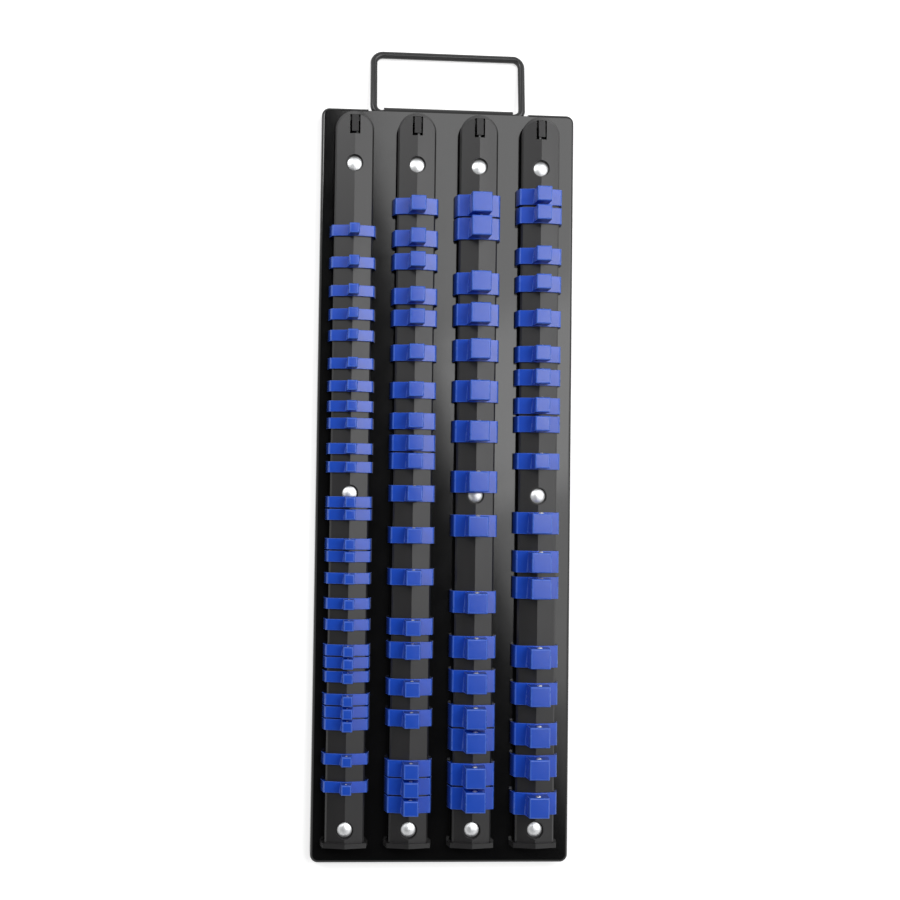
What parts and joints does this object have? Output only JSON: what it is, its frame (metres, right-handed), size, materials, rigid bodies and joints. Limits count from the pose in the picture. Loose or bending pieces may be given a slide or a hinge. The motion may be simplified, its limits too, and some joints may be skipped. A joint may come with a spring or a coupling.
{
  "type": "socket organizer tray",
  "caption": "Flat sheet-steel socket tray with sliding stud clips on riveted plastic rails for quarter, three-eighth and half inch drive, and a hinged wire handle at one end.",
  "frame": {"origin": "centre of the pan in the plane of its back rim, which lies on the bench or drawer floor", "axes": "+Z out of the pan's face along the studs, +Y along the rails towards the handle, +X across the rails to the right when the handle points away"},
  "size_m": [0.164, 0.5206, 0.0349],
  "materials": {
    "black_paint": "semi-gloss black powder coat",
    "handle_paint": "gloss black coated wire",
    "rail_plastic": "dark grey moulded plastic",
    "blue_plastic": "blue moulded plastic, smooth",
    "rivet_steel": "bright zinc plated rivet",
    "ball_steel": "polished ball",
    "spring_steel": "plain spring wire"
  },
  "bodies": {
    "tray": {"pan": "black_paint", "rivets": "rivet_steel", "rail_1": "rail_plastic", "rail_2": "rail_plastic", "rail_3": "rail_plastic", "rail_4": "rail_plastic"},
    "handle": {"carry_handle": "handle_paint"},
    "latch_1": {"latch_1": "rail_plastic"},
    "latch_2": {"latch_2": "rail_plastic"},
    "latch_3": {"latch_3": "rail_plastic"},
    "latch_4": {"latch_4": "rail_plastic"},
    "clips_1a": {"clips_1a": "blue_plastic", "springs_1a": "spring_steel"},
    "balls_1a": {"balls_1a": "ball_steel"},
    "clips_1b": {"clips_1b": "blue_plastic", "springs_1b": "spring_steel"},
    "balls_1b": {"balls_1b": "ball_steel"},
    "clips_1c": {"clips_1c": "blue_plastic", "springs_1c": "spring_steel"},
    "balls_1c": {"balls_1c": "ball_steel"},
    "clips_1d": {"clips_1d": "blue_plastic", "springs_1d": "spring_steel"},
    "balls_1d": {"balls_1d": "ball_steel"},
    "clips_2a": {"clips_2a": "blue_plastic", "springs_2a": "spring_steel"},
    "balls_2a": {"balls_2a": "ball_steel"},
    "clips_2b": {"clips_2b": "blue_plastic", "springs_2b": "spring_steel"},
    "balls_2b": {"balls_2b": "ball_steel"},
    "clips_2c": {"clips_2c": "blue_plastic", "springs_2c": "spring_steel"},
    "balls_2c": {"balls_2c": "ball_steel"},
    "clips_2d": {"clips_2d": "blue_plastic", "springs_2d": "spring_steel"},
    "balls_2d": {"balls_2d": "ball_steel"},
    "clips_3a": {"clips_3a": "blue_plastic", "springs_3a": "spring_steel"},
    "balls_3a": {"balls_3a": "ball_steel"},
    "clips_3b": {"clips_3b": "blue_plastic", "springs_3b": "spring_steel"},
    "balls_3b": {"balls_3b": "ball_steel"},
    "clips_3c": {"clips_3c": "blue_plastic", "springs_3c": "spring_steel"},
    "balls_3c": {"balls_3c": "ball_steel"},
    "clips_3d": {"clips_3d": "blue_plastic", "springs_3d": "spring_steel"},
    "balls_3d": {"balls_3d": "ball_steel"},
    "clips_4a": {"clips_4a": "blue_plastic", "springs_4a": "spring_steel"},
    "balls_4a": {"balls_4a": "ball_steel"},
    "clips_4b": {"clips_4b": "blue_plastic", "springs_4b": "spring_steel"},
    "balls_4b": {"balls_4b": "ball_steel"},
    "clips_4c": {"clips_4c": "blue_plastic", "springs_4c": "spring_steel"},
    "balls_4c": {"balls_4c": "ball_steel"},
    "clips_4d": {"clips_4d": "blue_plastic", "springs_4d": "spring_steel"},
    "balls_4d": {"balls_4d": "ball_steel"}
  },
  "joints": [
    {"name": "handle_hinge", "type": "hinge", "parent": "tray", "child": "handle", "pos_m": [0, 0.2382, 0.00815], "axis": [1, 0, 0], "range_deg": [-166, 24]},
    {"name": "latch_1_press", "type": "hinge", "parent": "tray", "child": "latch_1", "pos_m": [-0.061, 0.2332, 0.02055], "axis": [1, 0, 0], "range_deg": [0, 8], "stiffness_Nm_per_rad": 0.5},
    {"name": "latch_2_press", "type": "hinge", "parent": "tray", "child": "latch_2", "pos_m": [-0.021, 0.2332, 0.02055], "axis": [1, 0, 0], "range_deg": [0, 8], "stiffness_Nm_per_rad": 0.5},
    {"name": "latch_3_press", "type": "hinge", "parent": "tray", "child": "latch_3", "pos_m": [0.019, 0.2332, 0.02055], "axis": [1, 0, 0], "range_deg": [0, 8], "stiffness_Nm_per_rad": 0.5},
    {"name": "latch_4_press", "type": "hinge", "parent": "tray", "child": "latch_4", "pos_m": [0.059, 0.2332, 0.02055], "axis": [1, 0, 0], "range_deg": [0, 8], "stiffness_Nm_per_rad": 0.5},
    {"name": "clips_1a_slide", "type": "slide", "parent": "tray", "child": "clips_1a", "axis": [0, 1, 0], "range_m": [-0.0311, 0.0043]},
    {"name": "balls_1a_press", "type": "slide", "parent": "clips_1a", "child": "balls_1a", "axis": [0, -1, 0], "range_m": [0, 0.00027], "stiffness_N_per_m": 12000, "springref_m": -0.0003, "deforming": ["springs_1a"]},
    {"name": "clips_1b_slide", "type": "slide", "parent": "tray", "child": "clips_1b", "axis": [0, 1, 0], "range_m": [-0.0043, 0.0074]},
    {"name": "balls_1b_press", "type": "slide", "parent": "clips_1b", "child": "balls_1b", "axis": [0, -1, 0], "range_m": [0, 0.00027], "stiffness_N_per_m": 10500, "springref_m": -0.0003, "deforming": ["springs_1b"]},
    {"name": "clips_1c_slide", "type": "slide", "parent": "tray", "child": "clips_1c", "axis": [0, 1, 0], "range_m": [-0.0074, 0.0052]},
    {"name": "balls_1c_press", "type": "slide", "parent": "clips_1c", "child": "balls_1c", "axis": [0, -1, 0], "range_m": [0, 0.00027], "stiffness_N_per_m": 9000, "springref_m": -0.0003, "deforming": ["springs_1c"]},
    {"name": "clips_1d_slide", "type": "slide", "parent": "tray", "child": "clips_1d", "axis": [0, 1, 0], "range_m": [-0.0052, 0.0595]},
    {"name": "balls_1d_press", "type": "slide", "parent": "clips_1d", "child": "balls_1d", "axis": [0, -1, 0], "range_m": [0, 0.00027], "stiffness_N_per_m": 7500, "springref_m": -0.0003, "deforming": ["springs_1d"]},
    {"name": "clips_2a_slide", "type": "slide", "parent": "tray", "child": "clips_2a", "axis": [0, 1, 0], "range_m": [-0.0184, 0.0104]},
    {"name": "balls_2a_press", "type": "slide", "parent": "clips_2a", "child": "balls_2a", "axis": [0, -1, 0], "range_m": [0, 0.00055], "stiffness_N_per_m": 6000, "springref_m": -0.0003, "deforming": ["springs_2a"]},
    {"name": "clips_2b_slide", "type": "slide", "parent": "tray", "child": "clips_2b", "axis": [0, 1, 0], "range_m": [-0.0104, 0.0102]},
    {"name": "balls_2b_press", "type": "slide", "parent": "clips_2b", "child": "balls_2b", "axis": [0, -1, 0], "range_m": [0, 0.00055], "stiffness_N_per_m": 8000, "springref_m": -0.0003, "deforming": ["springs_2b"]},
    {"name": "clips_2c_slide", "type": "slide", "parent": "tray", "child": "clips_2c", "axis": [0, 1, 0], "range_m": [-0.0102, 0.0066]},
    {"name": "balls_2c_press", "type": "slide", "parent": "clips_2c", "child": "balls_2c", "axis": [0, -1, 0], "range_m": [0, 0.00055], "stiffness_N_per_m": 14000, "springref_m": -0.0003, "deforming": ["springs_2c"]},
    {"name": "clips_2d_slide", "type": "slide", "parent": "tray", "child": "clips_2d", "axis": [0, 1, 0], "range_m": [-0.0066, 0.041]},
    {"name": "balls_2d_press", "type": "slide", "parent": "clips_2d", "child": "balls_2d", "axis": [0, -1, 0], "range_m": [0, 0.00055], "stiffness_N_per_m": 12000, "springref_m": -0.0003, "deforming": ["springs_2d"]},
    {"name": "clips_3a_slide", "type": "slide", "parent": "tray", "child": "clips_3a", "axis": [0, 1, 0], "range_m": [-0.0207, 0.017]},
    {"name": "balls_3a_press", "type": "slide", "parent": "clips_3a", "child": "balls_3a", "axis": [0, -1, 0], "range_m": [0, 0.00083], "stiffness_N_per_m": 21000, "springref_m": -0.0003, "deforming": ["springs_3a"]},
    {"name": "clips_3b_slide", "type": "slide", "parent": "tray", "child": "clips_3b", "axis": [0, 1, 0], "range_m": [-0.017, 0.0089]},
    {"name": "balls_3b_press", "type": "slide", "parent": "clips_3b", "child": "balls_3b", "axis": [0, -1, 0], "range_m": [0, 0.00083], "stiffness_N_per_m": 6000, "springref_m": -0.0003, "deforming": ["springs_3b"]},
    {"name": "clips_3c_slide", "type": "slide", "parent": "tray", "child": "clips_3c", "axis": [0, 1, 0], "range_m": [-0.0089, 0.0105]},
    {"name": "balls_3c_press", "type": "slide", "parent": "clips_3c", "child": "balls_3c", "axis": [0, -1, 0], "range_m": [0, 0.00083], "stiffness_N_per_m": 15000, "springref_m": -0.0003, "deforming": ["springs_3c"]},
    {"name": "clips_3d_slide", "type": "slide", "parent": "tray", "child": "clips_3d", "axis": [0, 1, 0], "range_m": [-0.0105, 0.0378]},
    {"name": "balls_3d_press", "type": "slide", "parent": "clips_3d", "child": "balls_3d", "axis": [0, -1, 0], "range_m": [0, 0.00083], "stiffness_N_per_m": 6000, "springref_m": -0.0003, "deforming": ["springs_3d"]},
    {"name": "clips_4a_slide", "type": "slide", "parent": "tray", "child": "clips_4a", "axis": [0, 1, 0], "range_m": [-0.0173, 0.0146]},
    {"name": "balls_4a_press", "type": "slide", "parent": "clips_4a", "child": "balls_4a", "axis": [0, -1, 0], "range_m": [0, 0.00083], "stiffness_N_per_m": 15000, "springref_m": -0.0003, "deforming": ["springs_4a"]},
    {"name": "clips_4b_slide", "type": "slide", "parent": "tray", "child": "clips_4b", "axis": [0, 1, 0], "range_m": [-0.0146, 0.0134]},
    {"name": "balls_4b_press", "type": "slide", "parent": "clips_4b", "child": "balls_4b", "axis": [0, -1, 0], "range_m": [0, 0.00083], "stiffness_N_per_m": 9000, "springref_m": -0.0003, "deforming": ["springs_4b"]},
    {"name": "clips_4c_slide", "type": "slide", "parent": "tray", "child": "clips_4c", "axis": [0, 1, 0], "range_m": [-0.0134, 0.0061]},
    {"name": "balls_4c_press", "type": "slide", "parent": "clips_4c", "child": "balls_4c", "axis": [0, -1, 0], "range_m": [0, 0.00055], "stiffness_N_per_m": 10000, "springref_m": -0.0003, "deforming": ["springs_4c"]},
    {"name": "clips_4d_slide", "type": "slide", "parent": "tray", "child": "clips_4d", "axis": [0, 1, 0], "range_m": [-0.0061, 0.0328]},
    {"name": "balls_4d_press", "type": "slide", "parent": "clips_4d", "child": "balls_4d", "axis": [0, -1, 0], "range_m": [0, 0.00055], "stiffness_N_per_m": 10000, "springref_m": -0.0003, "deforming": ["springs_4d"]}
  ]
}
